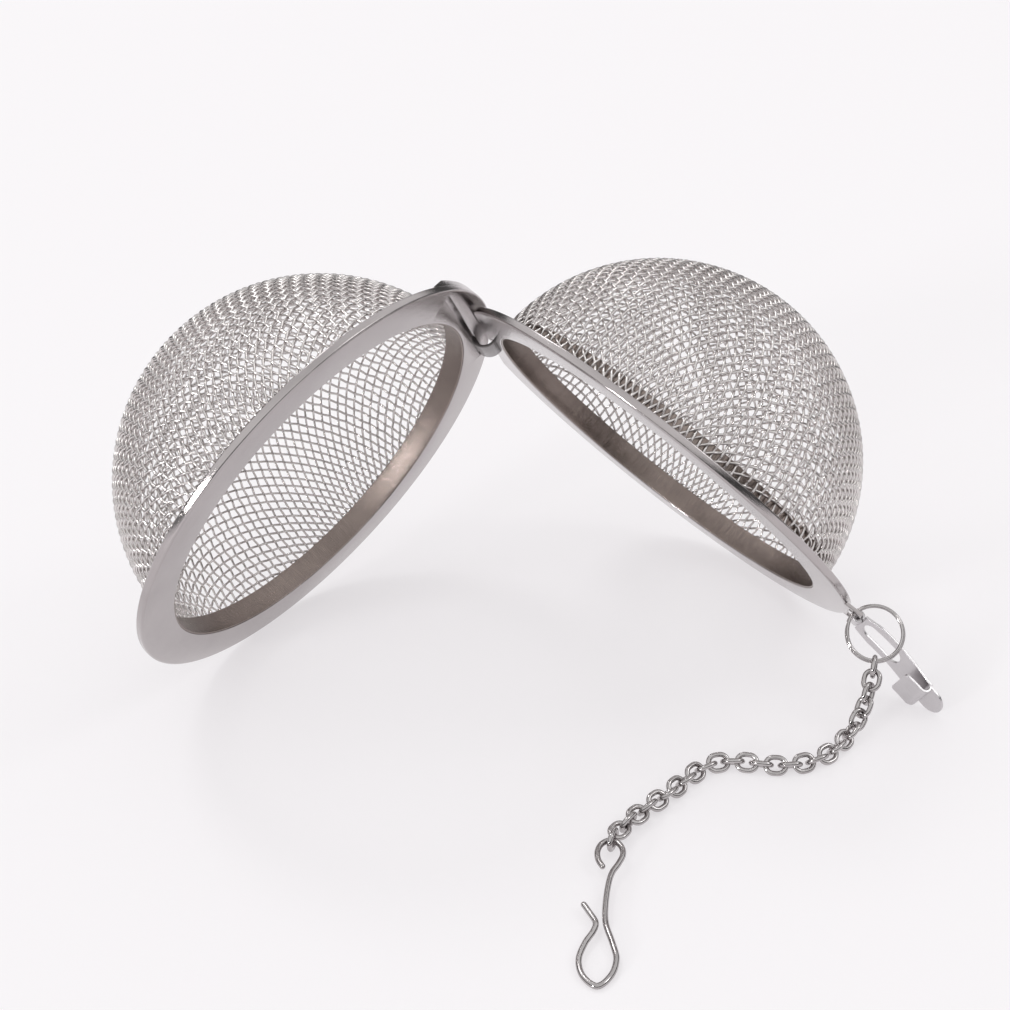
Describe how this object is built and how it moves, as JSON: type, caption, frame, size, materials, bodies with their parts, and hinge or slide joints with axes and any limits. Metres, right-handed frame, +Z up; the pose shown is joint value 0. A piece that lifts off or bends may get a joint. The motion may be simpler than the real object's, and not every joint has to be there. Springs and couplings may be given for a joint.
{
  "type": "tea infuser",
  "caption": "Mesh ball tea infuser: two hinged mesh bowls in steel rims, with a clasp, a split ring, a link chain and a cup hook, lying open.",
  "frame": {"origin": "on the table, straight below the middle of the hinge axis", "axes": "+Z up from the table, +X towards the base half and its clasp, -Y the way the open mouths face"},
  "size_m": [0.1035, 0.0969, 0.0553],
  "materials": {
    "rim": "polished stainless steel",
    "band": "brushed stainless steel",
    "mesh": "woven stainless wire",
    "clip": "plain stainless strip",
    "clasp": "satin stainless strip",
    "wire": "bright drawn wire"
  },
  "bodies": {
    "base": {"base_rim": "rim", "base_band": "band", "base_mesh": "mesh"},
    "hinge_clip": {"hinge_clip": "clip"},
    "lid": {"lid_rim": "rim", "lid_band": "band", "lid_mesh": "mesh"},
    "clasp": {"clasp": "clasp"},
    "ring": {"split_ring": "wire"},
    "chain_a": {"chain_link_01": "wire", "chain_link_02": "wire", "chain_link_03": "wire", "chain_link_04": "wire", "chain_link_05": "wire", "chain_link_06": "wire", "chain_link_07": "wire"},
    "chain_b": {"chain_link_08": "wire", "chain_link_09": "wire", "chain_link_10": "wire", "chain_link_11": "wire", "chain_link_12": "wire", "chain_link_13": "wire", "chain_link_14": "wire"},
    "chain_c": {"chain_link_15": "wire", "chain_link_16": "wire", "chain_link_17": "wire", "chain_link_18": "wire", "chain_link_19": "wire", "chain_link_20": "wire", "chain_link_21": "wire"},
    "chain_d": {"chain_link_22": "wire", "chain_link_23": "wire", "chain_link_24": "wire", "chain_link_25": "wire", "chain_link_26": "wire", "chain_link_27": "wire", "chain_link_28": "wire"},
    "hook": {"hook": "wire"}
  },
  "joints": [
    {"name": "lid_swing", "type": "hinge", "parent": "base", "child": "hinge_clip", "pos_m": [0, 0, 0.04444], "axis": [-0.1405, -0.7528, 0.6431], "range_deg": [0, 92.8]},
    {"name": "lid_shift", "type": "slide", "parent": "hinge_clip", "child": "lid", "axis": [0.1405, 0.7528, -0.6431], "range_m": [0, 0.01]},
    {"name": "clasp_swing", "type": "hinge", "parent": "base", "child": "clasp", "pos_m": [0.04626, -0.02509, 0.00963], "axis": [0.1405, 0.7528, -0.6431], "range_deg": [0, 90]},
    {"name": "ring_swing", "type": "hinge", "parent": "base", "child": "ring", "pos_m": [0.04572, -0.02802, 0.01214], "axis": [-0.1405, -0.7528, 0.6431], "range_deg": [0, 12]},
    {"name": "chain_swing", "type": "hinge", "parent": "ring", "child": "chain_a", "pos_m": [0.047, -0.0317, 0.0077], "axis": [0, 0, 1], "range_deg": [-6, 6]},
    {"name": "chain_bend_b", "type": "hinge", "parent": "chain_a", "child": "chain_b", "pos_m": [0.04121, -0.03949, 0.00108], "axis": [0, 0, 1], "range_deg": [-15, 15]},
    {"name": "chain_bend_c", "type": "hinge", "parent": "chain_b", "child": "chain_c", "pos_m": [0.03008, -0.04194, 0.00108], "axis": [0, 0, 1], "range_deg": [-15, 15]},
    {"name": "chain_bend_d", "type": "hinge", "parent": "chain_c", "child": "chain_d", "pos_m": [0.01955, -0.04588, 0.00118], "axis": [0, 0, 1], "range_deg": [-15, 15]},
    {"name": "hook_swing", "type": "hinge", "parent": "chain_d", "child": "hook", "pos_m": [0.01143, -0.05438, 0.00139], "axis": [0, 0, 1], "range_deg": [-12, 12]}
  ],
  "couplings": [
    {"joint": "lid_shift", "follows": "lid_swing", "m_per_rad": 0.006168}
  ]
}
